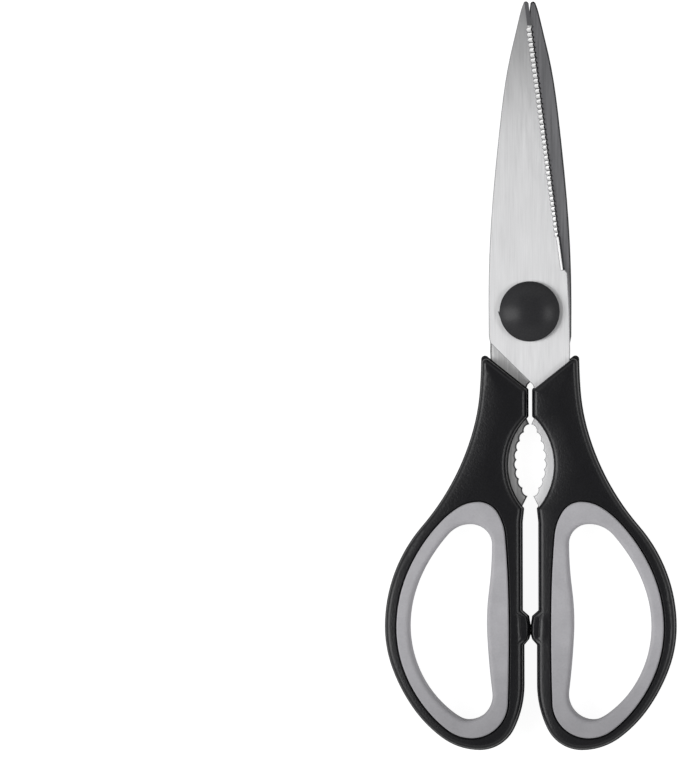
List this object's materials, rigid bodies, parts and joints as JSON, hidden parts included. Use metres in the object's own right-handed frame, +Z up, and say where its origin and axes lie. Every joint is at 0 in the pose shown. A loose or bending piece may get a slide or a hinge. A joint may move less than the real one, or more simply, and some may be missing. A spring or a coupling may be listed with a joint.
{
  "type": "kitchen shears",
  "caption": "Long-bladed kitchen shears with a serrated front blade, a toothed nutcracker jaw between the handles, a capped pivot and soft-lined finger loops.",
  "frame": {"origin": "under the middle of the whole length and width, level with the underside of the handles", "axes": "+X to the right across the handles with the front blade on top, +Y from the finger loops to the tips, +Z up, along the pivot"},
  "size_m": [0.0858, 0.22, 0.0132],
  "materials": {
    "front_blade_steel": "brushed",
    "rear_blade_steel": "ground and brushed",
    "handle_plastic": "satin moulded",
    "liner_rubber": "soft matte",
    "cap_plastic": "satin moulded",
    "pivot_steel": "turned"
  },
  "bodies": {
    "lower_half": {"rear_blade": "rear_blade_steel", "left_handle": "handle_plastic", "left_grip_liner": "liner_rubber", "pivot_bolt": "pivot_steel", "pivot_washer": "pivot_steel", "pivot_spring_washer": "pivot_steel", "pivot_nut": "pivot_steel", "pivot_cap": "cap_plastic"},
    "upper_half": {"front_blade": "front_blade_steel", "right_handle": "handle_plastic", "right_grip_liner": "liner_rubber"}
  },
  "joints": [
    {"name": "blade_pivot", "type": "hinge", "parent": "lower_half", "child": "upper_half", "pos_m": [0, 0.0189, 0.006], "axis": [0, 0, 1], "range_deg": [0, 90]}
  ]
}
